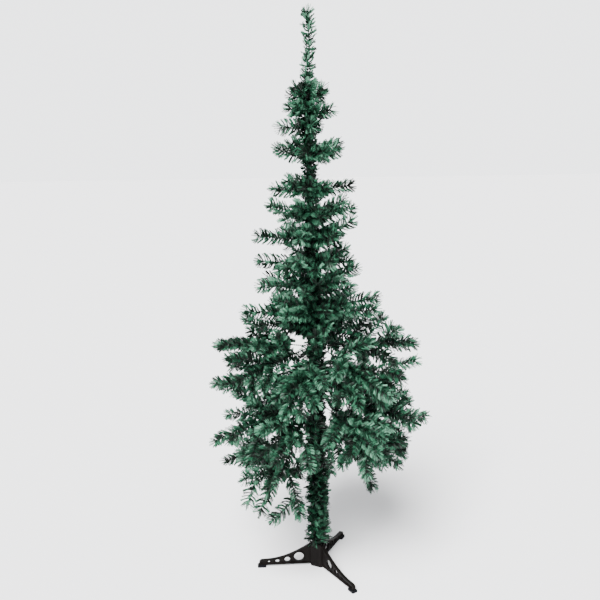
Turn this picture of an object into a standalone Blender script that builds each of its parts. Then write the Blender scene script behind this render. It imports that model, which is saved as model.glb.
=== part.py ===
"""An artificial Christmas tree: tinsel needles on wire branches, a three-piece pole and a plastic
stand with three pierced legs. Metres, Z up, the floor at Z = 0 and the foot of the pole over the
origin. X runs to the right of the front view, and -Y towards it."""

import math
import random

import bmesh
import bpy
import numpy as np
from mathutils import Matrix, Vector

TREE_HEIGHT = 1.500
GAP = 0.0003  # between pieces that touch

# Pole: three tubes that meet on top of the first and last ring, the top one loose enough to lean
POLE_RADII = (0.0110, 0.0095, 0.0080)
POLE_FOOT = 0.006
POLE_TOP = 1.315
POLE_SIDES = 12
LEAN_LEFT = math.radians(1.6)

# Stand: a six-sided hub with its narrow sides towards the legs, which hang in slots by a tongue
HUB_HEIGHT = 0.068
HUB_BROAD_SIDE = 0.031
HUB_NARROW_SIDE = 0.012
SOCKET_RADIUS = 0.0116
SOCKET_SIDES = 16
LEG_AZIMUTHS = (-55.6, 64.4, 184.4)
LEG_REACH = 0.172
LEG_THICKNESS = 0.0095
LEG_UNDERSIDE = 0.0065
LEG_TOP = 0.066
LEG_STEPS = 6
WEB_THICKNESS = 0.0030
RIM_WIDTH = 0.0032
SHOULDER_REACH = 0.158
SHOULDER_HEIGHT = 0.021
SHOULDER_RADIUS = 0.010
HOLLOWNESS = 1.15  # of the leg's top edge
LEG_HOLES = ((0.055, 0.0140), (0.088, 0.0082), (0.116, 0.0058), (0.140, 0.0032))  # (reach, radius)
COLLAR_WIDTH = 0.0022
TONGUE_DEPTH = 0.0060
TONGUE_NECK = 0.0036
TONGUE_HEAD = 0.0072
TONGUE_TOP = 0.060
TONGUE_ROOT = 0.0020  # how far the tongue runs on into the leg
PAD_LENGTH = 0.024
PAD_WIDTH = 0.017
PAD_HEIGHT = 0.0060
PAD_CORNER = 0.003

# Tinsel: a stick's wire core and its needles, in tufts that each stand for several dozen
CORE_RADIUS = 0.0030
CORE_SIDES = 3
NEEDLE_REACH = 0.0200
NEEDLE_LEAN = 0.0130
TUFT_LENGTH = 0.0310
TUFT_TWIST = math.radians(38)
SHORTER_TUFT = 0.72  # tried where a whole tuft has no room
SPACE_MARGIN = 0.0009
CORE_CLEARANCE = 0.0090
STICK_ROOT_BARE = 0.004
STEM_SIDES_BARE = 0.016

# Sleeves of tinsel wound round the pole
SLEEVE_SIDES = 6
SLEEVE_WALL = 0.0060
SLEEVE_GAP = 0.0008
SLEEVE_REACH = 0.0215
SLEEVE_LEAN = 0.3  # of a row's height
BRANCH_BAND = 0.0130
BRANCH_ROOT = 0.0035  # how far a branch is sunk into its sleeve
FOOT_COVER_FOOT = 0.0700
FOOT_COVER_SIDES = 8
FOOT_COVER_REACH = 0.0370
FOOT_COVER_TUFT = 0.0224
POLE_TINSEL_REACH = 0.0255

# Whorls of single branches on the upper pole: height, then the branches that show in front as
# (azimuth, reach, slope), in degrees, metres and degrees. The hidden ones fill the rest.
WHORLS = (
    (0.690, ((200, 0.168, 7), (270, 0.150, -3), (340, 0.165, -12))),
    (0.738, ((180, 0.198, -1), (240, 0.150, 5), (330, 0.190, 5), (5, 0.181, 10))),
    (0.800, ((150, 0.162, 5), (192, 0.157, 6), (275, 0.130, 12), (350, 0.153, 12), (22, 0.136, 23))),
    (0.865, ((158, 0.169, -2), (186, 0.170, 12), (300, 0.110, 5), (358, 0.080, 6))),
    (0.925, ((200, 0.161, 9), (250, 0.110, 5), (345, 0.119, 25))),
    (0.985, ((165, 0.125, 14), (215, 0.100, 4), (352, 0.122, 10), (32, 0.092, 14))),
    (1.056, ((190, 0.108, 0), (262, 0.080, 5), (5, 0.119, 2), (35, 0.058, 36), (145, 0.060, 28))),
    (1.145, ((150, 0.070, 21), (190, 0.096, 2), (255, 0.062, 6), (345, 0.092, 0), (20, 0.089, 22))),
    (1.205, ((190, 0.087, 5), (300, 0.052, 5), (40, 0.048, 2))),
    (1.248, ((150, 0.056, 8), (235, 0.060, 6), (350, 0.076, 6))),
    (1.290, ((180, 0.060, 15), (262, 0.048, 8), (335, 0.060, 13), (130, 0.052, 36))),
)
HIDDEN_SPACING = 62  # degrees
HIDDEN_LENGTH = (0.88, 1.0)  # of the mean of those that show
HIDDEN_SLOPE = (2, 14)
BRANCH_SAG = (-0.006, 0.004)
WHORL_SEED = 100

# The leader above the pole, an upright stick of tinsel that sways to the right and back
LEADER_STEPS = 7
LEADER_SWAY = 0.0115
LEADER_BEND = 2.3  # how far along a sine wave it is at its tip
LEADER_REACH = 0.0145

# Rings that hold the long boughs: height, bare wire, stem, tip, side tips, then (azimuth, slope)
RINGS = (
    (0.300, 0.095, 0.052, 0.118, 6, ((228, 16), (336, 30), (28, 13), (72, 8), (150, 6))),
    (0.485, 0.060, 0.095, 0.118, 7, ((203, -9), (250, -8), (300, -4), (346, -1), (42, 3), (122, 3))),
    (0.640, 0.045, 0.090, 0.118, 7, ((172, 3), (210, -13), (262, -18), (312, -14), (8, 2), (82, 4))),
)
RING_RADIUS = 0.0170
RING_HEIGHT = 0.0100
WIRE_RADIUS = 0.0017
WIRE_TIP_RADIUS = 0.0014
WIRE_SIDES = 6
STEM_SAG = 0.10  # of its length
FIRST_SIDE_TIP = 0.010  # from the foot of the stem
SIDE_TIP_SPREAD = (76, 34)  # degrees from the stem, for the first tip and the last
SIDE_TIP_SAG = 0.20
SIDE_TIP_TURN = 137.5  # degrees round the stem from each tip to the next
SIDE_TIP_FLATNESS = 0.65
SIDE_TIP_LENGTH = (0.86, 1.06)
STEM_AHEAD = 0.030  # where the stem is past a tip's foot, which the tip must clear
TRIES_PER_TIP = 8
BOUGH_SEED = 4900

MATERIALS = {  # colour, roughness, metallic
    "pine_tinsel": ((0.035, 0.150, 0.085, 1), 0.45, 0.0),
    "pole_paint": ((0.020, 0.070, 0.045, 1), 0.40, 0.3),
    "branch_wire": ((0.030, 0.045, 0.035, 1), 0.45, 0.6),
    "stand_plastic": ((0.022, 0.017, 0.016, 1), 0.42, 0.0),
    "pad_rubber": ((0.012, 0.012, 0.013, 1), 0.75, 0.0),
}


def make_material(name):
    colour, roughness, metallic = MATERIALS[name]
    material = bpy.data.materials.new(name)
    material.use_nodes = True
    shader = material.node_tree.nodes["Principled BSDF"]
    shader.inputs["Base Color"].default_value = colour
    shader.inputs["Roughness"].default_value = roughness
    shader.inputs["Metallic"].default_value = metallic
    material.diffuse_color = colour


def new_object(name, bm, material):
    """The finished mesh as an object, with its faces pointing out."""
    bmesh.ops.recalc_face_normals(bm, faces=bm.faces)
    mesh = bpy.data.meshes.new(name)
    bm.to_mesh(mesh)
    bm.free()
    made = bpy.data.objects.new(name, mesh)
    bpy.context.scene.collection.objects.link(made)
    made.data.materials.append(bpy.data.materials[material])
    return made


def apply_boolean(target, others, operation):
    """One Boolean with a collection of other objects, applied, with those objects then removed."""
    group = bpy.data.collections.new(target.name + "_parts")
    for other in others:
        group.objects.link(other)
    modifier = target.modifiers.new("Boolean", "BOOLEAN")
    modifier.operation = operation
    modifier.operand_type = "COLLECTION"
    modifier.collection = group
    modifier.solver = "EXACT"
    graph = bpy.context.evaluated_depsgraph_get()
    graph.update()
    joined = bpy.data.meshes.new_from_object(target.evaluated_get(graph))
    target.modifiers.clear()
    target.data = joined
    for other in others:
        bpy.data.objects.remove(other)
    bpy.data.collections.remove(group)


def heading(azimuth, slope=0.0):
    """The unit vector at an azimuth and a slope above level, both in degrees."""
    turn, rise = math.radians(azimuth), math.radians(slope)
    return Vector((math.cos(turn) * math.cos(rise), math.sin(turn) * math.cos(rise), math.sin(rise)))


def pole_joints():
    """Heights of the pole's foot, of its two joints and of its top."""
    return [POLE_FOOT] + [RINGS[n][0] + RING_HEIGHT / 2 + GAP for n in (0, -1)] + [POLE_TOP]


def pole_axis(height):
    """The point of the pole's axis at a height. The top tube leans left."""
    return Vector((-math.tan(LEAN_LEFT) * max(0.0, height - pole_joints()[2]), 0, height))


def pole_radius(height):
    return next(radius for radius, top in zip(POLE_RADII, pole_joints()[1:]) if height <= top)


# Stand


def narrow_side_reach():
    """From the hub's axis to its narrow sides: its corners all turn by 60 degrees."""
    return (2 * HUB_BROAD_SIDE + HUB_NARROW_SIDE) / (2 * math.sqrt(3))


def hub_outline():
    corners = []
    for azimuth in sorted(a % 360 for a in LEG_AZIMUTHS):
        out, across = heading(azimuth), heading(azimuth + 90)
        for side in (-1, 1):
            corners.append(out * narrow_side_reach() + across * side * HUB_NARROW_SIDE / 2)
    return corners


def prism(name, outline, low, high):
    """An upright plastic solid of that outline from one height to another."""
    bm = bmesh.new()
    face = bm.faces.new([bm.verts.new((p.x, p.y, low)) for p in outline])
    extrude_by(bm, face, Vector((0, 0, high - low)))
    return new_object(name, bm, "stand_plastic")


def extrude_by(bm, face, offset):
    raised = bmesh.ops.extrude_face_region(bm, geom=[face])["geom"]
    bmesh.ops.translate(bm, vec=offset, verts=[v for v in raised if isinstance(v, bmesh.types.BMVert)])


def tongue_outline(azimuth, mouth, play):
    """A T in plan, from a mouth at the hub's side in to the head, grown by the play."""
    out, across = heading(azimuth), heading(azimuth + 90)
    neck, head = TONGUE_NECK / 2 + play, TONGUE_HEAD / 2 + play
    step = narrow_side_reach() - TONGUE_DEPTH / 2 + play
    back = narrow_side_reach() - TONGUE_DEPTH - play
    side = [(mouth, neck), (step, neck), (step, head), (back, head)]
    points = side + [(reach, -half) for reach, half in reversed(side)]
    return [out * reach + across * half for reach, half in points]


def make_hub():
    """The hub, with the pole's socket and three slots that are open at the top."""
    hub = prism("stand_hub", hub_outline(), 0, HUB_HEIGHT)
    above = HUB_HEIGHT + TONGUE_ROOT
    socket = [heading(360 * n / SOCKET_SIDES) * SOCKET_RADIUS for n in range(SOCKET_SIDES)]
    cutters = [prism("socket", socket, POLE_FOOT - GAP, above)]
    for azimuth in LEG_AZIMUTHS:
        slot = tongue_outline(azimuth, narrow_side_reach() + TONGUE_ROOT, GAP)
        cutters.append(prism("slot", slot, LEG_UNDERSIDE - GAP, above))
    apply_boolean(hub, cutters, "DIFFERENCE")


def leg_top(reach):
    """Height of the leg's top edge, in a hollow curve from the hub down to the shoulder."""
    foot = narrow_side_reach() + GAP
    share = (reach - foot) / (SHOULDER_REACH - foot)
    return SHOULDER_HEIGHT + (LEG_TOP - SHOULDER_HEIGHT) * (1 - math.sin(share * math.pi / 2)) ** HOLLOWNESS


def leg_profile():
    """The leg from its side, as (reach, height): hub end, top edge, round shoulder and toe."""
    foot = narrow_side_reach() + GAP
    reaches = [foot + (SHOULDER_REACH - foot) * n / LEG_STEPS for n in range(LEG_STEPS + 1)]
    points = [(reach, leg_top(reach)) for reach in reaches]
    centre = Vector((SHOULDER_REACH, SHOULDER_HEIGHT - SHOULDER_RADIUS))
    for turn in (60, 30, 0):
        angle = math.radians(turn)
        points.append(tuple(centre + Vector((math.cos(angle), math.sin(angle))) * SHOULDER_RADIUS))
    return points + [(SHOULDER_REACH + SHOULDER_RADIUS, LEG_UNDERSIDE), (foot, LEG_UNDERSIDE)]


def shrink_profile(profile, width):
    """The profile moved inwards by a width, corner by corner."""
    inner = []
    for n, point in enumerate(profile):
        before, here, after = (Vector(profile[k % len(profile)]) for k in (n - 1, n, n + 1))
        first, second = (here - before).normalized(), (after - here).normalized()
        inward = (Vector((first.y, -first.x)) + Vector((second.y, -second.x))).normalized()
        inner.append(tuple(here + inward * width / math.sqrt((1 + first.dot(second)) / 2)))
    return inner


def leg_plate(name, profile, azimuth, near, far):
    """A plate of that profile, upright along the leg, between two distances from its middle."""
    out, across = heading(azimuth), heading(azimuth + 90)
    bm = bmesh.new()
    corners = [out * reach + across * near + Vector((0, 0, height)) for reach, height in profile]
    extrude_by(bm, bm.faces.new([bm.verts.new(corner) for corner in corners]), across * (far - near))
    return new_object(name, bm, "stand_plastic")


def round_plug(name, reach, radius, azimuth):
    """A round bar across the leg, midway between its edges at that reach."""
    bm = bmesh.new()
    sides = 12 if radius > LEG_THICKNESS else 8
    bmesh.ops.create_cone(
        bm, cap_ends=True, segments=sides, radius1=radius, radius2=radius, depth=LEG_THICKNESS * 1.5
    )
    place = heading(azimuth) * reach + Vector((0, 0, (leg_top(reach) + LEG_UNDERSIDE) / 2))
    across = Matrix.Rotation(math.radians(azimuth), 4, "Z") @ Matrix.Rotation(math.radians(90), 4, "X")
    bmesh.ops.transform(bm, matrix=Matrix.Translation(place) @ across, verts=bm.verts)
    return new_object(name, bm, "stand_plastic")


def make_leg(number, azimuth):
    """A pierced leg: a thin web in a rim, a collar round the largest hole, and the hub's tongue."""
    profile = leg_profile()
    leg = leg_plate(f"stand_leg_{number}", profile, azimuth, -LEG_THICKNESS / 2, LEG_THICKNESS / 2)
    cutters = [round_plug("hole", reach, radius, azimuth) for reach, radius in LEG_HOLES]
    largest_reach, largest_radius = LEG_HOLES[0]
    for side in (-1, 1):
        inner = shrink_profile(profile, RIM_WIDTH)
        pocket = leg_plate("pocket", inner, azimuth, side * WEB_THICKNESS / 2, side * LEG_THICKNESS)
        collar = round_plug("collar", largest_reach, largest_radius + COLLAR_WIDTH, azimuth)
        apply_boolean(pocket, [collar], "DIFFERENCE")
        cutters.append(pocket)
    apply_boolean(leg, cutters, "DIFFERENCE")
    outline = tongue_outline(azimuth, narrow_side_reach() + TONGUE_ROOT, 0)
    apply_boolean(leg, [prism("tongue", outline, LEG_UNDERSIDE, TONGUE_TOP)], "UNION")


def make_pad(number, azimuth):
    """The rubber pad under a leg's toe, with its corners cut off."""
    bm = bmesh.new()
    bmesh.ops.create_cube(bm, size=1)
    bmesh.ops.scale(bm, vec=(PAD_LENGTH, PAD_WIDTH, PAD_HEIGHT), verts=bm.verts)
    upright = [e for e in bm.edges if abs(e.verts[0].co.z - e.verts[1].co.z) > PAD_HEIGHT / 2]
    bmesh.ops.bevel(bm, geom=upright, offset=PAD_CORNER, segments=1, affect="EDGES")
    turned = Matrix.Rotation(math.radians(azimuth), 4, "Z")
    place = heading(azimuth) * (LEG_REACH - PAD_LENGTH / 2) + Vector((0, 0, PAD_HEIGHT / 2))
    bmesh.ops.transform(bm, matrix=Matrix.Translation(place) @ turned, verts=bm.verts)
    new_object(f"foot_pad_{number}", bm, "pad_rubber")


# Pole and rings


def add_ring(bm, centre, radius, sides, turn=0.0):
    """Points round an upright axis, with the first at an angle in degrees."""
    return [bm.verts.new(centre + heading(turn + 360 * k / sides) * radius) for k in range(sides)]


def bridge(bm, low, high):
    """Side faces between two rings of as many points."""
    count = len(low)
    turns = [(k, (k + 1) % count) for k in range(count)]
    return [bm.faces.new((low[k], low[n], high[n], high[k])) for k, n in turns]


def skin_rings(bm, rings):
    """Closes a row of rings of points into a solid. Returns the side faces, row by row."""
    bm.faces.new(list(reversed(rings[0])))
    bm.faces.new(rings[-1])
    return [bridge(bm, low, high) for low, high in zip(rings, rings[1:])]


def make_pole():
    """Three round tubes of falling radius, one in the next, closed at both ends."""
    bm = bmesh.new()
    joints = pole_joints()
    rings = []
    for radius, foot, top in zip(POLE_RADII, joints, joints[1:]):
        rings += [add_ring(bm, pole_axis(height), radius, POLE_SIDES) for height in (foot, top)]
    skin_rings(bm, rings)
    new_object("trunk_pole", bm, "pole_paint")


def bore_radius(height, sides):
    """The corner radius of a bore of that many sides that clears the pole."""
    return (pole_radius(height) + GAP) / math.cos(math.pi / sides)


def make_ring(number, height):
    """The plastic ring on the pole that the wires hook into."""
    bm = bmesh.new()
    bore = bore_radius(height, POLE_SIDES)
    loops = []
    for radius, level in ((bore, -0.5), (RING_RADIUS, -0.5), (RING_RADIUS, 0.5), (bore, 0.5)):
        loops.append(add_ring(bm, pole_axis(height + level * RING_HEIGHT), radius, POLE_SIDES))
    for low, high in zip(loops, loops[1:] + loops[:1]):
        bridge(bm, low, high)
    new_object(f"bough_ring_{number}", bm, "stand_plastic")


# Skeleton: the line of every stick of tinsel and every wire, before any has its needles


class Twig:
    """A stick, a wire or a sleeve: its line, its core's radius and how far its needles reach."""

    def __init__(self, mass, points, core, reach, bare=0.0, sleeve=False):
        self.mass = mass
        self.points = [Vector(point) for point in points]
        self.core = core
        self.reach = reach
        self.bare = bare
        self.sleeve = sleeve


class Thicket:
    """All the twigs so far, with what is needed to keep them clear of each other."""

    def __init__(self):
        self.twigs = []
        self.starts = np.empty((0, 3))
        self.ends = np.empty((0, 3))
        self.cores = np.empty(0)
        self.owners = np.empty(0, int)
        self.sleeves = np.empty(0, bool)

    def add(self, twig):
        points = np.array(twig.points)
        stretches = len(points) - 1
        self.starts = np.vstack([self.starts, points[:-1]])
        self.ends = np.vstack([self.ends, points[1:]])
        self.cores = np.append(self.cores, [twig.core] * stretches)
        self.owners = np.append(self.owners, [len(self.twigs)] * stretches)
        self.sleeves = np.append(self.sleeves, [twig.sleeve] * stretches)
        self.twigs.append(twig)
        return twig

    def distances(self, points):
        """From each point to the core of each stretch of twig, as a table."""
        points = np.array(points, float)
        along = self.ends - self.starts
        offset = points[:, None, :] - self.starts[None]
        share = np.clip((offset * along).sum(2) / (along**2).sum(1), 0, 1)
        return np.linalg.norm(offset - share[..., None] * along, axis=2) - self.cores

    def is_clear(self, points, core, parent):
        """True if a new twig would touch no other, apart from the one it grows from."""
        others = self.owners != self.twigs.index(parent)
        tests = points[1:] + [here.lerp(after, 0.5) for here, after in zip(points, points[1:])]
        return self.distances(tests)[:, others].min() > core + CORE_CLEARANCE

    def has_room(self, points, owner):
        """True if every point is nearer to its own twig than to any other, by a margin. Sleeves
        share the pole end to end, and each keeps to its own heights."""
        table = self.distances(points)
        own = self.owners == owner
        others = ~own & ~self.sleeves if self.twigs[owner].sleeve else ~own
        return bool((table[:, others].min(axis=1) - table[:, own].min(axis=1) > SPACE_MARGIN).all())


def curve_between(start, direction, length, sag, steps):
    """Points along a stick that sets out in a direction and sags, or lifts, towards its end."""
    points = []
    for n in range(steps + 1):
        share = n / steps
        points.append(start + direction * (length * share) + Vector((0, 0, -sag * share * share)))
    return points


def point_along(points, distance):
    """The point of a line at a distance from its start."""
    for here, after in zip(points, points[1:]):
        step = (after - here).length
        if distance <= step:
            return here.lerp(after, distance / step)
        distance -= step
    return points[-1].copy()


def tuft_steps(length, fewest):
    return max(fewest, round(length / TUFT_LENGTH))


def grow_pole_tinsel(thicket):
    """The full cover on the foot of the pole, and the sleeves between the rings."""
    half = RING_HEIGHT / 2 + SLEEVE_GAP
    spans = [(FOOT_COVER_FOOT, RINGS[0][0] - half)]
    spans += [(below[0] + half, above[0] - half) for below, above in zip(RINGS, RINGS[1:])]
    names = ["foot_cover", "pole_tinsel_1", "pole_tinsel_2"]
    reaches = [FOOT_COVER_REACH, POLE_TINSEL_REACH, POLE_TINSEL_REACH]
    for name, reach, (low, high) in zip(names, reaches, spans):
        radius = pole_radius(low) + SLEEVE_WALL
        thicket.add(Twig(name, (pole_axis(low), pole_axis(high)), radius, reach, sleeve=True))


def whorl_spans():
    """Lowest and highest end of each whorl's sleeve: the sleeves meet midway between whorls."""
    heights = [height for height, seen in WHORLS]
    foot = RINGS[-1][0] + RING_HEIGHT / 2 + SLEEVE_GAP
    middles = [(below + above) / 2 for below, above in zip(heights, heights[1:])]
    tops = middles + [POLE_TOP - SLEEVE_GAP]
    return [(low + SLEEVE_GAP / 2, high - SLEEVE_GAP / 2) for low, high in zip([foot] + middles, tops)]


def whorl_branches(seen, draw):
    """The branches of a whorl: those that show, and evenly spaced ones where none does."""
    shown = sorted((azimuth % 360, reach, slope) for azimuth, reach, slope in seen)
    mean_reach = sum(reach for azimuth, reach, slope in shown) / len(shown)
    branches = []
    for here, after in zip(shown, shown[1:] + [(shown[0][0] + 360,)]):
        branches.append(here)
        gap = after[0] - here[0]
        hidden = round(gap / HIDDEN_SPACING) - 1
        for n in range(hidden):
            azimuth = here[0] + gap * (n + 1) / (hidden + 1) + draw.uniform(-6, 6)
            branches.append((azimuth, mean_reach * draw.uniform(*HIDDEN_LENGTH), draw.uniform(*HIDDEN_SLOPE)))
    return branches


def grow_whorls(thicket):
    """One mass for each whorl: a sleeve round the pole, and then its branches."""
    sleeves = []
    for number, ((height, seen), (low, high)) in enumerate(zip(WHORLS, whorl_spans()), 1):
        points = (pole_axis(low), pole_axis(height), pole_axis(high))
        radius = pole_radius(height) + SLEEVE_WALL
        sleeves.append(thicket.add(Twig(f"whorl_{number:02d}", points, radius, SLEEVE_REACH, sleeve=True)))
    for number, (sleeve, (height, seen)) in enumerate(zip(sleeves, WHORLS), 1):
        draw = random.Random(WHORL_SEED + number)
        for azimuth, reach, slope in whorl_branches(seen, draw):
            start = pole_axis(height) + heading(azimuth) * (sleeve.core - BRANCH_ROOT)
            length = reach / math.cos(math.radians(slope)) - sleeve.core - NEEDLE_LEAN
            sag = draw.uniform(*BRANCH_SAG)
            points = curve_between(start, heading(azimuth, slope), length, sag, tuft_steps(length, 2))
            if thicket.is_clear(points, CORE_RADIUS, sleeve):
                thicket.add(Twig(sleeve.mass, points, CORE_RADIUS, NEEDLE_REACH, STICK_ROOT_BARE))


def grow_leader(thicket):
    foot, top = POLE_TOP + GAP, TREE_HEIGHT - NEEDLE_LEAN
    points = []
    for n in range(LEADER_STEPS + 1):
        share = n / LEADER_STEPS
        points.append(pole_axis(foot + (top - foot) * share))
        points[-1].x += LEADER_SWAY * math.sin(LEADER_BEND * share)
    thicket.add(Twig("leader", points, CORE_RADIUS, LEADER_REACH))


def grow_boughs(thicket):
    """For each ring, bare wires that each end a gap short of the stem of a spray of tinsel."""
    sprays = []
    for height, wire, stem, tip, side_tips, boughs in RINGS:
        for azimuth, slope in boughs:
            number = len(sprays) + 1
            out = heading(azimuth, slope)
            clear = RING_RADIUS + GAP + WIRE_RADIUS * abs(math.sin(math.radians(slope)))
            start = pole_axis(height) + heading(azimuth) * clear
            thicket.add(Twig(f"bough_{number:02d}", (start, start + out * wire), WIRE_RADIUS, 0.0))
            length = stem + tip
            foot = start + out * (wire + GAP)
            points = curve_between(foot, out, length, length * STEM_SAG, tuft_steps(length, 3))
            spray = Twig(f"spray_{number:02d}", points, CORE_RADIUS, NEEDLE_REACH, STICK_ROOT_BARE)
            sprays.append((thicket.add(spray), stem, tip, side_tips, out))
    for number, (spray, stem, tip, side_tips, out) in enumerate(sprays, 1):
        draw = random.Random(BOUGH_SEED + number)
        grow_side_tips(thicket, spray, stem, tip, side_tips, out, draw)


def grow_side_tips(thicket, spray, stem, tip, side_tips, out, draw):
    """Tips that fan out round the stem, most of them to its sides. One with no room is skipped."""
    level = out.cross(Vector((0, 0, 1))).normalized()
    upward = level.cross(out)
    widest, narrowest = SIDE_TIP_SPREAD
    first_roll = draw.uniform(0, 360)
    for n in range(side_tips):
        share = n / (side_tips - 1)
        along = FIRST_SIDE_TIP + (stem - FIRST_SIDE_TIP) * share
        start = point_along(spray.points, along)
        for attempt in range(TRIES_PER_TIP):
            roll = math.radians(first_roll + SIDE_TIP_TURN * n + draw.uniform(-30, 30))
            spread = math.radians(widest + (narrowest - widest) * share + draw.uniform(-8, 8))
            aside = (level * math.cos(roll) + upward * (math.sin(roll) * SIDE_TIP_FLATNESS)).normalized()
            direction = (out * math.cos(spread) + aside * math.sin(spread)).normalized()
            length = tip * draw.uniform(*SIDE_TIP_LENGTH)
            points = curve_between(start, direction, length, length * SIDE_TIP_SAG, tuft_steps(length, 3))
            stem_ahead = point_along(spray.points, along + STEM_AHEAD)
            nearest = min((stem_ahead - point).length for point in points[2:])
            if thicket.is_clear(points, CORE_RADIUS, spray) and nearest > CORE_CLEARANCE:
                thicket.add(Twig(spray.mass, points, CORE_RADIUS, NEEDLE_REACH, STEM_SIDES_BARE))
                break


# Meshes of the twigs


def frames_along(points):
    """For each point, the line's direction and two more at right angles, with no needless turn."""
    tangents = []
    for n in range(len(points)):
        before, after = points[max(0, n - 1)], points[min(len(points) - 1, n + 1)]
        tangents.append((after - before).normalized())
    side = tangents[0].orthogonal().normalized()
    frames = []
    for tangent in tangents:
        side = (side - tangent * side.dot(tangent)).normalized()
        frames.append((tangent, side, tangent.cross(side)))
    return frames


def add_section(bm, point, frame, radius, sides, turn):
    """The points of a twig's cross-section."""
    tangent, side, other = frame
    angles = [turn + math.tau * k / sides for k in range(sides)]
    return [bm.verts.new(point + (side * math.cos(a) + other * math.sin(a)) * radius) for a in angles]


def make_wire(twig):
    """A bough's bare wire, tapering a little towards its spray."""
    bm = bmesh.new()
    sections = []
    for point, frame, radius in zip(twig.points, frames_along(twig.points), (WIRE_RADIUS, WIRE_TIP_RADIUS)):
        sections.append(add_section(bm, point, frame, radius, WIRE_SIDES, 0.0))
    skin_rings(bm, sections)
    new_object(twig.mass, bm, "branch_wire")


def grow_tuft(bm, face, foot, offset, thicket, owner):
    """Draws a face out into a tuft, whole or shorter, where that keeps to its twig's own space."""
    corners = [vertex.co.copy() for vertex in face.verts]
    for share in (1.0, SHORTER_TUFT):
        tip = foot + offset * share
        tests = [tip] + [corner.lerp(tip, part) for corner in corners for part in (0.3, 0.65)]
        if thicket.has_room(tests, owner):
            bmesh.ops.poke(bm, faces=[face])["verts"][0].co = tip
            return


def side_tuft(bm, face, here, after, lean, thicket, owner):
    """A tuft that stands out square to the twig and leans towards its tip."""
    middle = face.calc_center_median()
    axis = (after - here).normalized()
    foot = here + axis * (middle - here).dot(axis)
    outward = (middle - foot).normalized()
    grow_tuft(bm, face, foot, outward * thicket.twigs[owner].reach + axis * lean, thicket, owner)


def make_stick(thicket, owner, name):
    """A three-sided core, its sides and end drawn out into tufts of needles."""
    twig = thicket.twigs[owner]
    frames = frames_along(twig.points)
    bm = bmesh.new()
    sections = []
    for n, (point, frame) in enumerate(zip(twig.points, frames)):
        radius = twig.core if n < len(frames) - 1 else twig.core / 2
        sections.append(add_section(bm, point, frame, radius, CORE_SIDES, TUFT_TWIST * n))
    rows = skin_rings(bm, sections)
    end = next(face for face in bm.faces if set(face.verts) == set(sections[-1]))
    distance = 0.0
    for here, after, row in zip(twig.points, twig.points[1:], rows):
        middle = distance + (after - here).length / 2
        distance += (after - here).length
        for face in row if middle > twig.bare else []:
            side_tuft(bm, face, here, after, NEEDLE_LEAN, thicket, owner)
    grow_tuft(bm, end, twig.points[-1], frames[-1][0] * NEEDLE_LEAN, thicket, owner)
    bmesh.ops.triangulate(bm, faces=bm.faces)
    return new_object(name, bm, "pine_tinsel")


def sleeve_levels(twig):
    """Heights of a sleeve's rows, and the number of the row that has branches in place of tufts."""
    low, high = twig.points[0].z, twig.points[-1].z
    if twig.mass.startswith("whorl"):
        middle = twig.points[1].z
        return [low, middle - BRANCH_BAND / 2, middle + BRANCH_BAND / 2, high], 1
    rows = round((high - low) / (FOOT_COVER_TUFT if twig.mass == "foot_cover" else TUFT_LENGTH))
    return [low + (high - low) * n / rows for n in range(rows + 1)], None


def make_sleeve(thicket, owner):
    """A sleeve round the pole with a clear bore, its outer faces drawn out into tufts."""
    twig = thicket.twigs[owner]
    sides = FOOT_COVER_SIDES if twig.mass == "foot_cover" else SLEEVE_SIDES
    levels, bare_row = sleeve_levels(twig)
    bm = bmesh.new()
    turns = [180 / sides * (n % 2 if bare_row is None else 0) for n in range(len(levels))]
    outer = [add_ring(bm, pole_axis(z), twig.core, sides, turn) for z, turn in zip(levels, turns)]
    bore = bore_radius(levels[0], sides)
    inner = [add_ring(bm, pole_axis(levels[n]), bore, sides, turns[n]) for n in (0, -1)]
    rows = [bridge(bm, low, high) for low, high in zip(outer, outer[1:])]
    bridge(bm, inner[0], outer[0])
    bridge(bm, outer[-1], inner[1])
    bridge(bm, inner[1], inner[0])
    for n, row in enumerate(rows):
        here, after = pole_axis(levels[n]), pole_axis(levels[n + 1])
        for face in row if n != bare_row else []:
            side_tuft(bm, face, here, after, (after - here).length * SLEEVE_LEAN, thicket, owner)
    bmesh.ops.triangulate(bm, faces=bm.faces)
    return new_object(twig.mass, bm, "pine_tinsel")


def make_masses(thicket):
    """Every wire as it is, and each mass joined into one solid from its sleeve or its stem."""
    masses = {}
    for owner, twig in enumerate(thicket.twigs):
        if twig.reach:
            masses.setdefault(twig.mass, []).append(owner)
        else:
            make_wire(twig)
    for mass, (first, *rest) in masses.items():
        is_sleeve = thicket.twigs[first].sleeve
        body = make_sleeve(thicket, first) if is_sleeve else make_stick(thicket, first, mass)
        if rest:
            apply_boolean(body, [make_stick(thicket, owner, "stick") for owner in rest], "UNION")


def main():
    for old in list(bpy.data.objects):
        bpy.data.objects.remove(old)
    for name in MATERIALS:
        make_material(name)

    make_hub()
    for number, azimuth in enumerate(LEG_AZIMUTHS, 1):
        make_leg(number, azimuth)
        make_pad(number, azimuth)
    make_pole()
    for number, ring in enumerate(RINGS, 1):
        make_ring(number, ring[0])

    thicket = Thicket()
    grow_pole_tinsel(thicket)
    grow_whorls(thicket)
    grow_leader(thicket)
    grow_boughs(thicket)
    make_masses(thicket)


main()
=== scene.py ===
"""The looks of an artificial Christmas tree on its plastic stand, in the order it is put together:
hub, legs and pads, pole, rings, bare wires, tinsel, then the room it is photographed in. Metres."""

import math
import random

import bmesh
import bpy
import numpy as np
from mathutils import Matrix, Vector


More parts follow.
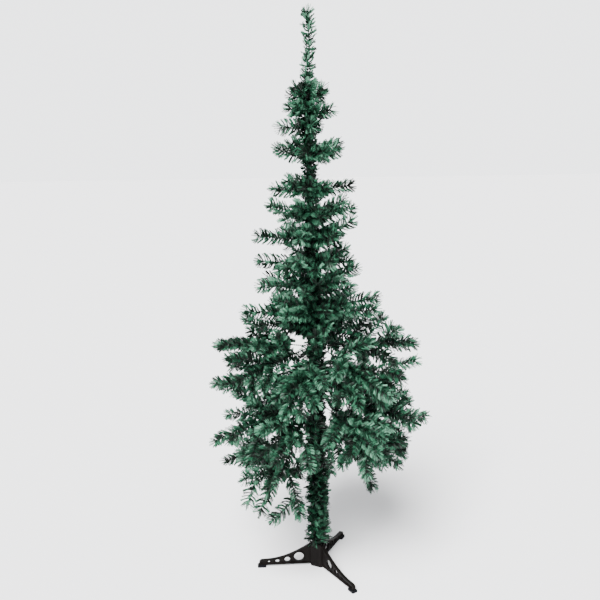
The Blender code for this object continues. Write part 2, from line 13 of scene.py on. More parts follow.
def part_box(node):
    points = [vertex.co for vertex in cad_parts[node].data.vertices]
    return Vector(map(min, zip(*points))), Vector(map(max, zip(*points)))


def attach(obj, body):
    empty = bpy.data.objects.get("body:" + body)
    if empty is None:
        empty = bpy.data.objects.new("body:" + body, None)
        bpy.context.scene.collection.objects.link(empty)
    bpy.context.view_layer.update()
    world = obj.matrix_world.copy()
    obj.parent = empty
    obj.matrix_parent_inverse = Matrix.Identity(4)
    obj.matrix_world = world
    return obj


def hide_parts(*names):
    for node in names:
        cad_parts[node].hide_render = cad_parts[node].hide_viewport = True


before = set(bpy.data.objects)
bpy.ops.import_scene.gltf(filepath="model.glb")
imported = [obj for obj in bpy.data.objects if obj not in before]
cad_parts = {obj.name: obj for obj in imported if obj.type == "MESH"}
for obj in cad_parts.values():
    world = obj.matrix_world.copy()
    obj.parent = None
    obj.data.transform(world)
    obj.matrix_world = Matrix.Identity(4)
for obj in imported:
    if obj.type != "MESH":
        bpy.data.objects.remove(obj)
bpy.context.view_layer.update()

# The stand's hub: one near-black moulding, six-sided, that grips the foot of the pole in a round
# socket. Each narrow side has a T-shaped slot that a leg drops into, and each broad side a shallow
# sunk panel with two ribs.
LEG_AZIMUTHS = (-55.6, 64.4, 184.4)
HUB_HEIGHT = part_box("stand_hub")[1].z
HUB_BROAD_SIDE = 0.031
HUB_NARROW_SIDE = 0.012
HUB_REACH = (2 * HUB_BROAD_SIDE + HUB_NARROW_SIDE) / (2 * math.sqrt(3))
SOCKET_RADIUS = 0.0116
SOCKET_FLOOR = 0.0057
LEG_UNDERSIDE = 0.0065
TONGUE_DEPTH = 0.0060
TONGUE_NECK = 0.0036
TONGUE_HEAD = 0.0072
SLOT_PLAY = 0.0003
PANEL_BORDER = 0.0045
PANEL_SLOPE = 0.0004
PANEL_DEPTH = 0.0007
RIB_SIZE = (0.0010, 0.0012)  # how far it stands out, and how wide it is
RIB_ENDS = 0.006  # from the hub's top and foot
RIB_ASIDE = 0.0045
RIB_SUNK = 0.0016  # how far behind the broad side its back lies
HUB_EDGE = 0.0005


def heading(azimuth, slope=0.0):
    """The unit vector at an azimuth and a slope above level, both in degrees."""
    turn, rise = math.radians(azimuth), math.radians(slope)
    return Vector((math.cos(turn) * math.cos(rise), math.sin(turn) * math.cos(rise), math.sin(rise)))


def select_only(piece):
    """The piece alone selected and active, in object mode."""
    bpy.ops.object.select_all(action="DESELECT")
    piece.select_set(True)
    bpy.context.view_layer.objects.active = piece


def edit_faces(test):
    """Edit mode on the active piece, with only the faces selected that pass the test."""
    bpy.ops.object.mode_set(mode="EDIT")
    bpy.ops.mesh.select_mode(type="FACE")
    bpy.ops.mesh.select_all(action="DESELECT")
    mesh = bmesh.from_edit_mesh(bpy.context.object.data)
    for face in mesh.faces:
        face.select_set(test(face))
    bmesh.update_edit_mesh(bpy.context.object.data)


def apply_all(piece):
    """Every modifier of the piece applied, in order."""
    select_only(piece)
    for modifier in list(piece.modifiers):
        bpy.ops.object.modifier_apply(modifier=modifier.name)


def boolean(piece, tools, operation):
    """One Boolean with each tool in turn, which is then removed."""
    for tool in tools:
        modifier = piece.modifiers.new("Boolean", "BOOLEAN")
        modifier.operation = operation
        modifier.object = tool
        modifier.solver = "EXACT"
    apply_all(piece)
    for tool in tools:
        bpy.data.objects.remove(tool)


def soften(piece, width, segments=2, angle=40):
    """Rounds the piece's sharp edges and shades it smooth between the ones that stay."""
    bevel = piece.modifiers.new("Bevel", "BEVEL")
    bevel.width = width
    bevel.segments = segments
    bevel.limit_method = "ANGLE"
    bevel.angle_limit = math.radians(angle)
    apply_all(piece)
    bpy.ops.object.shade_smooth_by_angle(angle=math.radians(35))


def put_on(piece, slot, material, *nodes):
    """The finished piece, given its finish, rides on the tree and stands for its CAD nodes."""
    piece.data.materials.clear()
    piece.data.materials.append(material)
    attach(piece, "root")
    if nodes:
        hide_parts(*nodes)


def rod(radius, low, high, sides=48, azimuth=0.0, reach=0.0):
    """An upright cylinder between two heights, at a place round the pole."""
    place = heading(azimuth) * reach
    bpy.ops.mesh.primitive_cylinder_add(
        vertices=sides, radius=radius, depth=high - low, location=(place.x, place.y, (low + high) / 2)
    )
    bpy.ops.object.transform_apply(location=True, rotation=True, scale=True)
    return bpy.context.object


def block(azimuth, near, far, half_width, low, high):
    """A box that stands along an azimuth, between two distances from the pole."""
    place = heading(azimuth) * ((near + far) / 2)
    bpy.ops.mesh.primitive_cube_add(size=1, location=(place.x, place.y, (low + high) / 2))
    made = bpy.context.object
    made.scale = (far - near, half_width * 2, high - low)
    made.rotation_euler.z = math.radians(azimuth)
    bpy.ops.object.transform_apply(location=True, rotation=True, scale=True)
    return made


def shader_group(name, inputs, outputs):
    """An empty node group with named inputs and outputs, and its two end nodes."""
    group = bpy.data.node_groups.new(name, "ShaderNodeTree")
    for label, kind, value in inputs:
        socket = group.interface.new_socket(label, in_out="INPUT", socket_type="NodeSocket" + kind)
        socket.default_value = value
    for label, kind in outputs:
        group.interface.new_socket(label, in_out="OUTPUT", socket_type="NodeSocket" + kind)
    return group, group.nodes.new("NodeGroupInput"), group.nodes.new("NodeGroupOutput")


def make_wear():
    """Handling marks for any hard surface: cloudy patches, fine scratches and a grain."""
    group, entry, leave = shader_group(
        "handling marks",
        [
            ("Colour", "Color", (0.5, 0.5, 0.5, 1)),
            ("Worn Colour", "Color", (0.5, 0.5, 0.5, 1)),
            ("Wear", "Float", 0.3),
            ("Roughness", "Float", 0.5),
            ("Patch Scale", "Float", 20.0),
            ("Grain Scale", "Float", 900.0),
        ],
        [("Colour", "Color"), ("Roughness", "Float"), ("Height", "Float")],
    )
    nodes, links = group.nodes, group.links
    place = nodes.new("ShaderNodeTexCoord")

    def noise(scale_socket, detail, stretch=(1, 1, 1)):
        mapping = nodes.new("ShaderNodeMapping")
        mapping.inputs["Scale"].default_value = stretch
        texture = nodes.new("ShaderNodeTexNoise")
        texture.inputs["Detail"].default_value = detail
        links.new(place.outputs["Object"], mapping.inputs["Vector"])
        links.new(mapping.outputs["Vector"], texture.inputs["Vector"])
        links.new(entry.outputs[scale_socket], texture.inputs["Scale"])
        return texture.outputs["Fac"]

    def spread(value, low, high, to_low, to_high):
        remap = nodes.new("ShaderNodeMapRange")
        limits = {"From Min": low, "From Max": high, "To Min": to_low, "To Max": to_high}
        for label, limit in limits.items():
            remap.inputs[label].default_value = limit
        links.new(value, remap.inputs["Value"])
        return remap.outputs["Result"]

    def combine(operation, first, second):
        node = nodes.new("ShaderNodeMath")
        node.operation = operation
        node.use_clamp = operation == "MULTIPLY"
        links.new(first, node.inputs[0])
        links.new(second, node.inputs[1])
        return node.outputs[0]

    patches = noise("Patch Scale", 4.0)
    scratches = noise("Patch Scale", 9.0, (1.0, 14.0, 3.0))
    grain = noise("Grain Scale", 2.0)
    marks = combine("MULTIPLY", spread(patches, 0.45, 0.75, 0, 1), spread(scratches, 0.55, 0.62, 0.25, 1))
    rubbed = combine("MULTIPLY", marks, entry.outputs["Wear"])
    mix = nodes.new("ShaderNodeMix")
    mix.data_type = "RGBA"
    links.new(rubbed, mix.inputs["Factor"])
    colour_in = [socket for socket in mix.inputs if socket.type == "RGBA"]
    links.new(entry.outputs["Colour"], colour_in[0])
    links.new(entry.outputs["Worn Colour"], colour_in[1])
    links.new([socket for socket in mix.outputs if socket.type == "RGBA"][0], leave.inputs["Colour"])
    uneven = combine("ADD", entry.outputs["Roughness"], spread(patches, 0.3, 0.7, -0.07, 0.10))
    links.new(uneven, leave.inputs["Roughness"])
    links.new(combine("ADD", grain, spread(scratches, 0.5, 0.65, 0, -0.4)), leave.inputs["Height"])
    return group


handling_marks = make_wear()


def worn_material(name, colour, worn, wear, roughness, metallic, patch, grain, relief, specular):
    """A hard finish with the handling marks: its colour and worn colour, how worn, rough and metallic
    it is, the scales of its patches and grain, the grain's depth in metres, and its gloss."""
    material = bpy.data.materials.new(name)
    material.use_nodes = True
    nodes, links = material.node_tree.nodes, material.node_tree.links
    shader = nodes["Principled BSDF"]
    shader.inputs["Metallic"].default_value = metallic
    shader.inputs["Specular IOR Level"].default_value = specular
    marks = nodes.new("ShaderNodeGroup")
    marks.node_tree = handling_marks
    marks.inputs["Colour"].default_value = (*colour, 1)
    marks.inputs["Worn Colour"].default_value = (*worn, 1)
    marks.inputs["Wear"].default_value = wear
    marks.inputs["Roughness"].default_value = roughness
    marks.inputs["Patch Scale"].default_value = patch
    marks.inputs["Grain Scale"].default_value = grain
    bump = nodes.new("ShaderNodeBump")
    bump.inputs["Strength"].default_value = 0.6
    bump.inputs["Distance"].default_value = relief
    links.new(marks.outputs["Colour"], shader.inputs["Base Color"])
    links.new(marks.outputs["Roughness"], shader.inputs["Roughness"])
    links.new(marks.outputs["Height"], bump.inputs["Height"])
    links.new(bump.outputs["Normal"], shader.inputs["Normal"])
    return material


STAND_COLOURS = ((0.0030, 0.0023, 0.0020), (0.013, 0.010, 0.009))
stand_plastic = worn_material("moulded stand plastic", *STAND_COLOURS, 0.4, 0.5, 0.0, 26, 1400, 0.00008, 0.07)

bpy.ops.object.select_all(action="DESELECT")
bpy.ops.mesh.primitive_circle_add(vertices=6, radius=HUB_REACH, fill_type="NGON")
hub = bpy.context.object
hub.name = "stand_hub_moulding"
corners = []
for azimuth in sorted(a % 360 for a in LEG_AZIMUTHS):
    for side in (-1, 1):
        corners.append(heading(azimuth) * HUB_REACH + heading(azimuth + 90) * side * HUB_NARROW_SIDE / 2)
for vertex, corner in zip(sorted(hub.data.vertices, key=lambda v: math.atan2(v.co.y, v.co.x) % math.tau),
                          sorted(corners, key=lambda c: math.atan2(c.y, c.x) % math.tau)):
    vertex.co = corner
edit_faces(lambda face: True)
bpy.ops.mesh.extrude_region_move(TRANSFORM_OT_translate={"value": (0, 0, HUB_HEIGHT)})
bpy.ops.mesh.select_all(action="SELECT")
bpy.ops.mesh.normals_make_consistent(inside=False)
BROAD_SIDES = [azimuth + 60 for azimuth in LEG_AZIMUTHS]
for broad in BROAD_SIDES:
    out = heading(broad)
    edit_faces(lambda face: face.normal.dot(out) > 0.99)
    bpy.ops.mesh.inset(thickness=PANEL_BORDER, depth=0.0)
    bpy.ops.mesh.inset(thickness=PANEL_SLOPE, depth=-PANEL_DEPTH)
bpy.ops.object.mode_set(mode="OBJECT")
above = HUB_HEIGHT + 0.01
cutters = [rod(SOCKET_RADIUS, SOCKET_FLOOR, above)]
for azimuth in LEG_AZIMUTHS:
    step = HUB_REACH - TONGUE_DEPTH / 2 + SLOT_PLAY
    back = HUB_REACH - TONGUE_DEPTH - SLOT_PLAY
    low = LEG_UNDERSIDE - SLOT_PLAY
    cutters.append(block(azimuth, step - 0.001, HUB_REACH + 0.01, TONGUE_NECK / 2 + SLOT_PLAY, low, above))
    cutters.append(block(azimuth, back, step, TONGUE_HEAD / 2 + SLOT_PLAY, low, above))
boolean(hub, cutters, "DIFFERENCE")
ribs = []
for broad in BROAD_SIDES:
    reach = (HUB_BROAD_SIDE / 2 + HUB_NARROW_SIDE) / math.sqrt(3) + HUB_BROAD_SIDE / (2 * math.sqrt(3))
    for aside in (-RIB_ASIDE, RIB_ASIDE):
        rib = block(broad, 0.0, RIB_SIZE[0], RIB_SIZE[1] / 2, RIB_ENDS, HUB_HEIGHT - RIB_ENDS)
        shift = heading(broad) * (reach - RIB_SUNK) + heading(broad + 90) * aside
        rib.data.transform(Matrix.Translation(shift))
        ribs.append(rib)
boolean(hub, ribs, "UNION")
soften(hub, HUB_EDGE)
put_on(hub, "stand_plastic", stand_plastic, "stand_hub")

# The three legs, one moulding each: a thin web inside a raised rim, pierced by four round holes of
# falling size, the largest with a collar of its own. A T-shaped tongue at the hub end drops into the
# hub's slot. The leg is modelled once along +X and turned into place.
LEG_THICKNESS = 0.0095
WEB_THICKNESS = 0.0030
RIM_WIDTH = 0.0032
LEG_TOP = 0.066
SHOULDER_REACH = 0.158
SHOULDER_HEIGHT = 0.021
SHOULDER_RADIUS = 0.010
HOLLOWNESS = 1.15
LEG_HOLES = ((0.055, 0.0140), (0.088, 0.0082), (0.116, 0.0058), (0.140, 0.0032))  # (reach, radius)
COLLAR_WIDTH = 0.0018
COLLAR_DEPTHS = [LEG_THICKNESS - 0.0006 - 0.0012 * n for n in range(3)]
TONGUE_TOP = 0.060
LEG_STEPS = 22  # along the hollow curve
SHOULDER_TURNS = (20, 40, 60, 75)  # degrees round the shoulder
POCKET_SLOPE = 0.0003
LEG_EDGE = 0.00045


def leg_top(reach):
    """Height of the leg's top edge: a hollow curve from the hub, then the round shoulder."""
    foot = HUB_REACH + SLOT_PLAY
    if reach > SHOULDER_REACH:
        over = min(1.0, (reach - SHOULDER_REACH) / SHOULDER_RADIUS)
        return SHOULDER_HEIGHT - SHOULDER_RADIUS * (1 - math.sqrt(1 - over * over))
    share = (reach - foot) / (SHOULDER_REACH - foot)
    return SHOULDER_HEIGHT + (LEG_TOP - SHOULDER_HEIGHT) * (1 - math.sin(share * math.pi / 2)) ** HOLLOWNESS


def cross_bar(reach, radius, length, sides=48):
    """A round bar across the leg, midway between its edges at that reach."""
    height = (leg_top(reach) + LEG_UNDERSIDE) / 2
    bpy.ops.mesh.primitive_cylinder_add(
        vertices=sides, radius=radius, depth=length, location=(reach, 0, height), rotation=(math.pi / 2, 0, 0)
    )
    bpy.ops.object.transform_apply(location=True, rotation=True, scale=True)
    return bpy.context.object


LEG_FOOT = HUB_REACH + SLOT_PLAY
LEG_TOE = SHOULDER_REACH + SHOULDER_RADIUS
leg = block(0.0, LEG_FOOT, LEG_TOE, LEG_THICKNESS / 2, LEG_UNDERSIDE, LEG_TOP)
leg.name = "stand_leg_1_moulding"
STATIONS = [LEG_FOOT + (SHOULDER_REACH - LEG_FOOT) * n / LEG_STEPS for n in range(1, LEG_STEPS + 1)]
STATIONS += [SHOULDER_REACH + SHOULDER_RADIUS * math.sin(math.radians(turn)) for turn in SHOULDER_TURNS]
for station in STATIONS:
    edit_faces(lambda face: True)
    bpy.ops.mesh.bisect(plane_co=(station, 0, 0), plane_no=(1, 0, 0))
bpy.ops.object.mode_set(mode="OBJECT")
for vertex in leg.data.vertices:
    if vertex.co.z > LEG_UNDERSIDE + 0.001:
        vertex.co.z = leg_top(min(vertex.co.x, LEG_TOE - 0.00002))
edit_faces(lambda face: True)
bpy.ops.mesh.dissolve_limited(angle_limit=math.radians(0.3))
for side in (-1, 1):
    edit_faces(lambda face: face.normal.y * side > 0.99)
    bpy.ops.mesh.inset(thickness=RIM_WIDTH, depth=0.0)
    bpy.ops.mesh.inset(thickness=POCKET_SLOPE, depth=-(LEG_THICKNESS - WEB_THICKNESS) / 2)
bpy.ops.object.mode_set(mode="OBJECT")
collars = [
    cross_bar(reach, radius + COLLAR_WIDTH, depth) for (reach, radius), depth in zip(LEG_HOLES, COLLAR_DEPTHS)
]
boolean(leg, collars, "UNION")
boolean(leg, [cross_bar(reach, radius, LEG_THICKNESS * 2) for reach, radius in LEG_HOLES], "DIFFERENCE")
step = HUB_REACH - TONGUE_DEPTH / 2
neck = block(0.0, step - 0.0005, LEG_FOOT + 0.0008, TONGUE_NECK / 2, LEG_UNDERSIDE + 0.0001, TONGUE_TOP)
head = block(0.0, HUB_REACH - TONGUE_DEPTH, step, TONGUE_HEAD / 2, LEG_UNDERSIDE + 0.0001, TONGUE_TOP)
boolean(leg, [neck, head], "UNION")
soften(leg, LEG_EDGE)
legs = [leg]
for number in (2, 3):
    twin = leg.copy()
    twin.data = leg.data.copy()
    twin.name = f"stand_leg_{number}_moulding"
    bpy.context.collection.objects.link(twin)
    legs.append(twin)
for number, (piece, azimuth) in enumerate(zip(legs, LEG_AZIMUTHS), 1):
    piece.data.transform(Matrix.Rotation(math.radians(azimuth), 4, "Z"))
    put_on(piece, "stand_plastic", stand_plastic, f"stand_leg_{number}")

# The pads under the toes: soft black rubber, pressed on, a little longer and wider than the toe, with
# three shallow grooves across the sole.
PAD_COLOURS = ((0.0030, 0.0032, 0.0046), (0.014, 0.014, 0.016))
pad_rubber = worn_material("foot pad rubber", *PAD_COLOURS, 0.4, 0.75, 0.0, 60, 2600, 0.00012, 0.07)
PAD_LENGTH = 0.024
PAD_WIDTH = 0.017
PAD_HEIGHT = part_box("foot_pad_1")[1].z
LEG_REACH = 0.172
PAD_REACH = LEG_REACH - PAD_LENGTH / 2
PAD_CORNER = 0.0035
PAD_EDGE = 0.0006
GROOVE_WIDTH = 0.0010
GROOVE_DEPTH = 0.0012
GROOVE_PLACES = (-0.006, 0.0, 0.006)
for number, azimuth in enumerate(LEG_AZIMUTHS, 1):
    pad = block(0.0, -PAD_LENGTH / 2, PAD_LENGTH / 2, PAD_WIDTH / 2, 0.0, PAD_HEIGHT)
    pad.name = f"foot_pad_{number}_rubber"
    edit_faces(lambda face: False)
    bpy.ops.mesh.select_mode(type="EDGE")
    mesh = bmesh.from_edit_mesh(pad.data)
    for edge in mesh.edges:
        edge.select_set(abs(edge.verts[0].co.z - edge.verts[1].co.z) > 0.001)
    bmesh.update_edit_mesh(pad.data)
    bpy.ops.mesh.bevel(offset=PAD_CORNER, segments=5)
    bpy.ops.object.mode_set(mode="OBJECT")
    half = GROOVE_WIDTH / 2
    grooves = [block(0.0, x - half, x + half, PAD_WIDTH, -0.001, GROOVE_DEPTH) for x in GROOVE_PLACES]
    boolean(pad, grooves, "DIFFERENCE")
    soften(pad, PAD_EDGE)
    turn = Matrix.Rotation(math.radians(azimuth), 4, "Z")
    pad.data.transform(turn @ Matrix.Translation((PAD_REACH, 0, 0)))
    put_on(pad, "pad_rubber", pad_rubber, f"foot_pad_{number}")

# The pole: three dark green painted steel tubes, each plugged into the mouth of the one below, with
# a rolled lip at each mouth. The top tube is loose in its joint and leans a little to the left.
RING_HEIGHTS = (0.300, 0.485, 0.640)
RING_THICKNESS = 0.0100
RING_RADIUS = 0.0170
GAP = 0.0003
POLE_RADII = (0.0110, 0.0095, 0.0080)
POLE_FOOT = 0.006
POLE_TOP = 1.315
LEAN_LEFT = math.radians(1.6)
POLE_JOINTS = (
    POLE_FOOT,
    RING_HEIGHTS[0] + RING_THICKNESS / 2 + GAP,
    RING_HEIGHTS[-1] + RING_THICKNESS / 2 + GAP,
    POLE_TOP,
)
MOUTH_WALL = 0.0009
MOUTH_DEPTH = 0.012
LIP_HEIGHT = 0.0030
LIP_ROLL = 0.0002  # how far it stands out
TUBE_EDGE = 0.0004
PAINT_COLOURS = ((0.005, 0.018, 0.011), (0.06, 0.07, 0.065))
pole_paint = worn_material("green pole paint", *PAINT_COLOURS, 0.3, 0.4, 0.2, 34, 700, 0.00005, 0.3)


def pole_axis(height):
    """The point of the pole's axis at a height."""
    return Vector((-math.tan(LEAN_LEFT) * max(0.0, height - POLE_JOINTS[2]), 0, height))


def pole_radius(height):
    return next(radius for radius, top in zip(POLE_RADII, POLE_JOINTS[1:]) if height <= top)


tubes = []
for radius, foot, top in zip(POLE_RADII, POLE_JOINTS, POLE_JOINTS[1:]):
    tube = rod(radius, foot, top)
    edit_faces(lambda face: face.normal.z > 0.9)
    bpy.ops.mesh.inset(thickness=MOUTH_WALL, depth=0.0)
    bpy.ops.mesh.extrude_region_move(TRANSFORM_OT_translate={"value": (0, 0, -MOUTH_DEPTH)})
    outside = radius * 0.97
    edit_faces(lambda face: face.normal.xy.length > 0.9 and face.calc_center_median().xy.length > outside)
    bpy.ops.mesh.bisect(plane_co=(0, 0, top - LIP_HEIGHT), plane_no=(0, 0, 1))
    bpy.ops.object.mode_set(mode="OBJECT")
    for vertex in tube.data.vertices:
        if abs(vertex.co.z - top) < 0.0001 and vertex.co.xy.length > outside:
            vertex.co.xy *= 1 + LIP_ROLL / radius
    soften(tube, TUBE_EDGE)
    tubes.append(tube)
tubes[2].data.transform(
    Matrix.Translation((0, 0, POLE_JOINTS[2]))
    @ Matrix.Rotation(-LEAN_LEFT, 4, "Y")
    @ Matrix.Translation((0, 0, -POLE_JOINTS[2]))
)
for tube in tubes:
    tube.select_set(True)
bpy.context.view_layer.objects.active = tubes[0]
bpy.ops.object.join()
pole = bpy.context.object
pole.name = "pole_tubes"
put_on(pole, "pole_paint", pole_paint, "trunk_pole")

# The rings that hold the long boughs: black plastic spools pushed onto the pole, each with a round
# hole for the hook of every bough. They are the same moulding as the stand's.
RINGS = (  # height, bare wire, stem, tip, side tips, then (azimuth, slope) of each bough
    (0.300, 0.095, 0.052, 0.118, 6, ((228, 16), (336, 30), (28, 13), (72, 8), (150, 6))),
    (0.485, 0.060, 0.095, 0.118, 7, ((203, -9), (250, -8), (300, -4), (346, -1), (42, 3), (122, 3))),
    (0.640, 0.045, 0.090, 0.118, 7, ((172, 3), (210, -13), (262, -18), (312, -14), (8, 2), (82, 4))),
)
BOUGHS = [  # one row for each bough: its ring's values, then its own azimuth and slope
    (height, wire, stem, tip, side_tips, azimuth, slope)
    for height, wire, stem, tip, side_tips, boughs in RINGS
    for azimuth, slope in boughs
]
HOOK_REACH = 0.0142
HOOK_HOLE = 0.0016
FLANGE_HEIGHT = 0.0020
GROOVE_SLOPE = 0.0003
WAIST_DEPTH = 0.0009
RING_EDGE = 0.0004
for number, (height, wire, stem, tip, side_tips, boughs) in enumerate(RINGS, 1):
    low, high = height - RING_THICKNESS / 2, height + RING_THICKNESS / 2
    ring = rod(RING_RADIUS, low, high, 64)
    ring.name = f"bough_ring_{number}_spool"
    edit_faces(lambda face: face.normal.xy.length > 0.9)
    bpy.ops.mesh.inset(thickness=FLANGE_HEIGHT, depth=0.0)
    bpy.ops.mesh.inset(thickness=GROOVE_SLOPE, depth=-WAIST_DEPTH)
    bpy.ops.object.mode_set(mode="OBJECT")
    bore = rod(pole_radius(height) + GAP, low - 0.01, high + 0.01, 64)
    holes = [rod(HOOK_HOLE, low - 0.01, high + 0.01, 12, azimuth, HOOK_REACH) for azimuth, slope in boughs]
    boolean(ring, [bore] + holes, "DIFFERENCE")
    soften(ring, RING_EDGE)
    put_on(ring, "stand_plastic", stand_plastic, f"bough_ring_{number}")

# The bare wires of the boughs: two dark strands twisted together, hooked down into the ring at one
# end and running on into the tinsel of the spray at the other.
WIRE_RADIUS = 0.0017
STRAND_RADIUS = 0.0009
STRAND_LAY = 0.011  # length of one full twist
STRAND_SPACING = 0.92  # of what would only just touch
HOOK_RISE = 0.0022  # above the ring
HOOK_BELOW = 0.003  # under the ring's middle
WIRE_PAST_END = 0.003  # how far it runs on into the tinsel
WIRE_COLOURS = ((0.010, 0.014, 0.011), (0.06, 0.055, 0.045))
wire_paint = worn_material("dark branch wire", *WIRE_COLOURS, 0.5, 0.5, 0.4, 90, 1800, 0.00003, 0.3)


def frames_along(points):
    """At each point of a line, its direction and two more at right angles, with no needless turn."""
    points = np.asarray(points, float)
    tangents = np.gradient(points, axis=0)
    tangents /= np.linalg.norm(tangents, axis=1)[:, None]
    sides = np.empty_like(tangents)
    side = np.cross(tangents[0], (0.0, 0.0, 1.0))
    if np.linalg.norm(side) < 0.2:
        side = np.cross(tangents[0], (0.0, 1.0, 0.0))
    for n, tangent in enumerate(tangents):
        side = side - tangent * side.dot(tangent)
        side /= np.linalg.norm(side)
        sides[n] = side
    return tangents, sides, np.cross(tangents, sides)


def resample(points, step):
    """The same line with points evenly spaced, about a step apart."""
    points = np.asarray(points, float)
    lengths = np.concatenate([[0.0], np.cumsum(np.linalg.norm(np.diff(points, axis=0), axis=1))])
    count = max(2, round(lengths[-1] / step) + 1)
    places = np.linspace(0, lengths[-1], count)
    return np.stack([np.interp(places, lengths, points[:, k]) for k in range(3)], axis=1), places


def twisted_pair(points, strand, lay, step, sides):
    """Vertices and faces of two strands twisted round a line, each a closed tube that presses a
    little into the other."""
    line, places = resample(points, step)
    tangents, side, other = frames_along(line)
    vertices, faces = [], []

    def around(angle):
        return side * np.cos(angle)[:, None] + other * np.sin(angle)[:, None]

    for start in (0.0, math.pi):
        turn = start + places * math.tau / lay
        centre = line + around(turn) * strand * STRAND_SPACING
        first = sum(len(row) for row in vertices)
        for k in range(sides):
            angle = math.tau * k / sides + turn
            vertices.append(centre + around(angle) * strand)
        count = len(line)
        for k in range(sides):
            here, after = first + k * count, first + (k + 1) % sides * count
            faces += [(here + n, after + n, after + n + 1, here + n + 1) for n in range(count - 1)]
        faces.append(tuple(first + k * count for k in reversed(range(sides))))
        faces.append(tuple(first + k * count + count - 1 for k in range(sides)))
    return np.concatenate(vertices), faces


def mesh_piece(name, parts):
    """One object from several lots of vertices and faces."""
    vertices, faces, base = [], [], 0
    for points, corners in parts:
        vertices.append(points)
        faces += [tuple(c + base for c in corner) for corner in corners]
        base += len(points)
    mesh = bpy.data.meshes.new(name)
    mesh.from_pydata(np.concatenate(vertices).tolist(), [], faces)
    mesh.update()
    made = bpy.data.objects.new(name, mesh)
    bpy.context.collection.objects.link(made)
    return made


def bough_foot(height, azimuth, slope):
    """Where a bough's straight wire sets out, just clear of the ring's edge."""
    clear = RING_RADIUS + GAP + WIRE_RADIUS * abs(math.sin(math.radians(slope)))
    return pole_axis(height) + heading(azimuth) * clear


for number, (height, wire, stem, tip, side_tips, azimuth, slope) in enumerate(BOUGHS, 1):
    start = bough_foot(height, azimuth, slope)
    hook = pole_axis(height) + heading(azimuth) * HOOK_REACH
    top = RING_THICKNESS / 2 + HOOK_RISE
    line = [hook + Vector((0, 0, rise)) for rise in (-HOOK_BELOW, 0.002, top - 0.0012)]
    line.append(hook + heading(azimuth) * 0.0014 + Vector((0, 0, top)))
    line.append(hook + heading(azimuth) * 0.0050 + Vector((0, 0, top - 0.0004)))
    out = heading(azimuth, slope)
    line += [start + out * reach for reach in (0.014, 0.020, wire / 2 + 0.01, wire + WIRE_PAST_END)]
    bough = mesh_piece(
        f"bough_{number:02d}_wire", [twisted_pair(line, STRAND_RADIUS, STRAND_LAY, 0.0012, 8)]
    )
    select_only(bough)
    bpy.ops.object.shade_smooth()
    put_on(bough, "branch_wire", wire_paint, f"bough_{number:02d}")

# The sticks of tinsel, before they have their needles: where each one starts, which way it runs and
# how long it is. Short ones stand on the upper pole in whorls. On each long bough they fan out from a
# stem. The seeded rule is the same that the solids are grown by, so each stick lies where its solid is.
WHORLS = (  # height, then (azimuth, reach, slope) of the branches that show in front
    (0.690, ((200, 0.168, 7), (270, 0.150, -3), (340, 0.165, -12))),
    (0.738, ((180, 0.198, -1), (240, 0.150, 5), (330, 0.190, 5), (5, 0.181, 10))),
    (0.800, ((150, 0.162, 5), (192, 0.157, 6), (275, 0.130, 12), (350, 0.153, 12), (22, 0.136, 23))),
    (0.865, ((158, 0.169, -2), (186, 0.170, 12), (300, 0.110, 5), (358, 0.080, 6))),
    (0.925, ((200, 0.161, 9), (250, 0.110, 5), (345, 0.119, 25))),
    (0.985, ((165, 0.125, 14), (215, 0.100, 4), (352, 0.122, 10), (32, 0.092, 14))),
    (1.056, ((190, 0.108, 0), (262, 0.080, 5), (5, 0.119, 2), (35, 0.058, 36), (145, 0.060, 28))),
    (1.145, ((150, 0.070, 21), (190, 0.096, 2), (255, 0.062, 6), (345, 0.092, 0), (20, 0.089, 22))),
    (1.205, ((190, 0.087, 5), (300, 0.052, 5), (40, 0.048, 2))),
    (1.248, ((150, 0.056, 8), (235, 0.060, 6), (350, 0.076, 6))),
    (1.290, ((180, 0.060, 15), (262, 0.048, 8), (335, 0.060, 13), (130, 0.052, 36))),
)
HIDDEN_SPACING = 62
HIDDEN_LENGTH = (0.88, 1.0)
HIDDEN_SLOPE = (2, 14)
BRANCH_SAG = (-0.006, 0.004)
WHORL_SEED = 100
BOUGH_SEED = 4900
CORE_RADIUS = 0.0030
CORE_CLEARANCE = 0.0090
NEEDLE_LEAN = 0.0130
TUFT_LENGTH = 0.0310
SLEEVE_WALL = 0.0060
SLEEVE_GAP = 0.0008
BRANCH_ROOT = 0.0035
STEM_SAG = 0.10
FIRST_SIDE_TIP = 0.010
SIDE_TIP_SPREAD = (76, 34)
SIDE_TIP_SAG = 0.20
SIDE_TIP_TURN = 137.5
SIDE_TIP_FLATNESS = 0.65
SIDE_TIP_LENGTH = (0.86, 1.06)
STEM_AHEAD = 0.030
TRIES_PER_TIP = 8
FINER = 8  # points of the smooth line for each stretch of the rule's
FOOT_COVER_FOOT = 0.0700
TREE_HEIGHT = 1.500
LEADER_STEPS = 7
LEADER_SWAY = 0.0115
LEADER_BEND = 2.3


